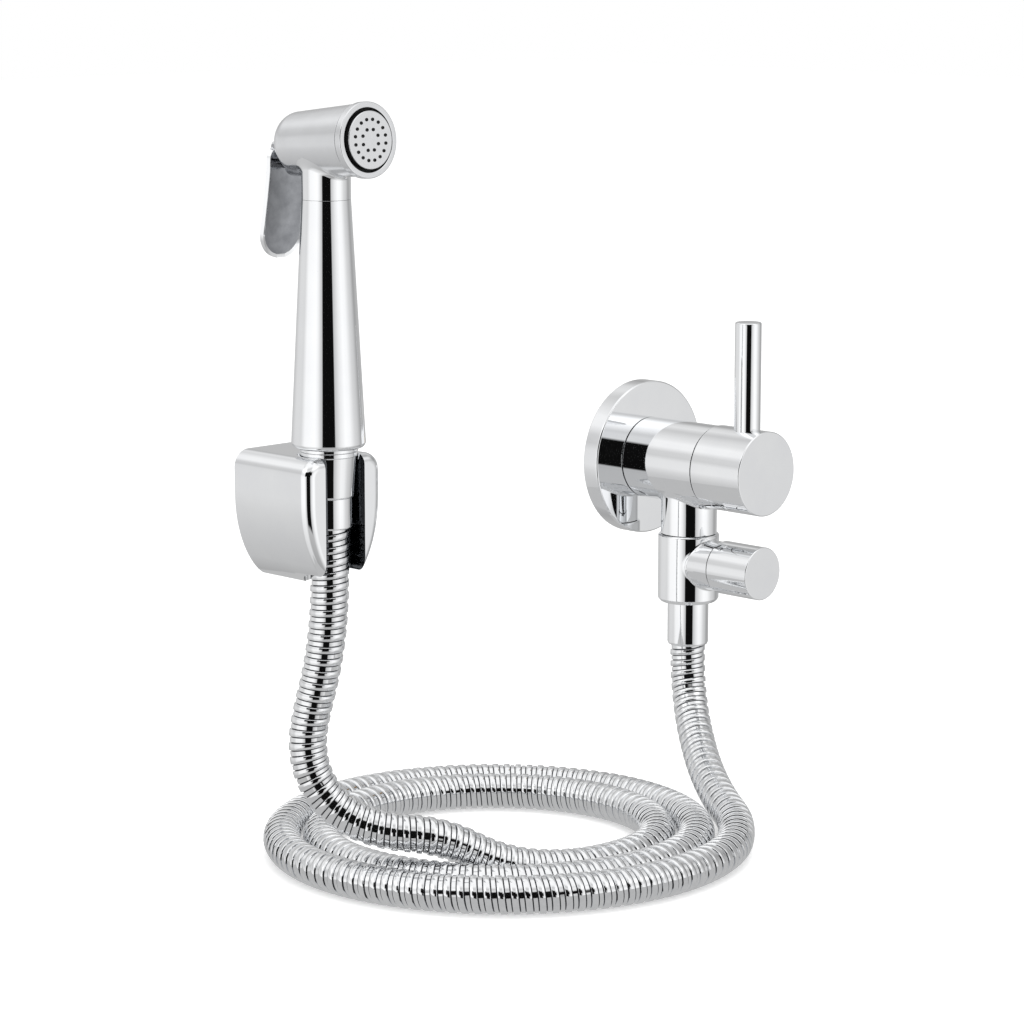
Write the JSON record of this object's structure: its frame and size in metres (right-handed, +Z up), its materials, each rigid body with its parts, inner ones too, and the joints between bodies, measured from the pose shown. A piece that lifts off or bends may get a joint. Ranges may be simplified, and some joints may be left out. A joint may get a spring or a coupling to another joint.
{
  "type": "two-way bidet tap",
  "caption": "Chrome wall stop valve with a lever knob and a small stop knob, a ribbed metal hose in a coil, and a trigger hand spray standing in its wall holder.",
  "frame": {"origin": "centre of the water inlet at the wall plane", "axes": "+Z up; +Y into the wall along the inlet, so -Y points away from the wall; +X along the wall from the holder to the valve"},
  "size_m": [0.268, 0.1992, 0.3176],
  "materials": {
    "polished_chrome": "polished",
    "head_chrome": "polished, slightly softer on the spray head",
    "brass": "machined",
    "steel": "plain",
    "rubber": "matte",
    "inner_plastic": "matte",
    "nozzle_face": "satin grey",
    "ceramic": null
  },
  "bodies": {
    "wall_set": {"wall_flange": "polished_chrome", "flange_seal": "rubber", "inlet_nipple": "brass", "valve_body": "polished_chrome", "headwork_bush": "brass", "fixed_ceramic_disc": "ceramic", "stop_body": "polished_chrome", "neck_oring": "rubber", "stop_bush": "brass", "hose_end_valve": "polished_chrome", "hose_washer_valve": "rubber", "hose_riser_valve": "polished_chrome", "hose_coil": "polished_chrome", "hose_riser_spray": "polished_chrome", "holder_cover": "polished_chrome", "holder_wall_plate": "inner_plastic", "holder_grub_screw": "steel"},
    "main_lever": {"lever_knob": "polished_chrome", "lever_pin": "polished_chrome", "knob_grub_screw": "steel", "headwork_spindle": "brass", "turning_ceramic_disc": "ceramic", "spindle_oring": "rubber"},
    "stop_handle": {"stop_knob": "polished_chrome", "stop_spindle": "brass", "stop_seal": "rubber"},
    "spray_hose_end": {"hose_end_spray": "polished_chrome", "hose_washer_spray": "rubber"},
    "hand_spray": {"cone_nut": "polished_chrome", "handle_tube": "polished_chrome", "handle_nipple": "brass", "water_tube": "inner_plastic", "neck_bush": "brass", "spray_head_shell": "head_chrome", "spray_bezel": "polished_chrome", "nozzle_plate": "nozzle_face", "nozzle_gasket": "rubber", "nozzle_carrier": "inner_plastic", "plunger_spring": "steel", "trigger_pin": "steel"},
    "trigger": {"trigger_lever": "polished_chrome"},
    "plunger": {"plunger_rod": "steel", "plunger_seal": "rubber"}
  },
  "joints": [
    {"name": "lever_turn", "type": "hinge", "parent": "wall_set", "child": "main_lever", "pos_m": [0, -0.05, 0], "axis": [0, -1, 0], "range_deg": [0, 90]},
    {"name": "stop_knob_turn", "type": "hinge", "parent": "wall_set", "child": "stop_handle", "pos_m": [0, -0.05, -0.044], "axis": [0, -1, 0], "range_deg": [0, 90]},
    {"name": "spray_lift", "type": "slide", "parent": "wall_set", "child": "spray_hose_end", "axis": [0, 0, 1], "range_m": [0, 0.045], "deforming": ["hose_riser_spray"]},
    {"name": "spray_swivel", "type": "hinge", "parent": "spray_hose_end", "child": "hand_spray", "pos_m": [-0.2142, -0.034, 0.01], "axis": [0, 0, 1], "continuous": true},
    {"name": "trigger_press", "type": "hinge", "parent": "hand_spray", "child": "trigger", "pos_m": [-0.2142, -0.0098, 0.1478], "axis": [-1, 0, 0], "range_deg": [0, 15], "stiffness_Nm_per_rad": 0.4, "springref_deg": -17.19},
    {"name": "plunger_slide", "type": "slide", "parent": "hand_spray", "child": "plunger", "axis": [0, -1, 0], "range_m": [0, 0.0024]}
  ],
  "couplings": [
    {"joint": "plunger_slide", "follows": "trigger_press", "m_per_rad": 0.009}
  ]
}
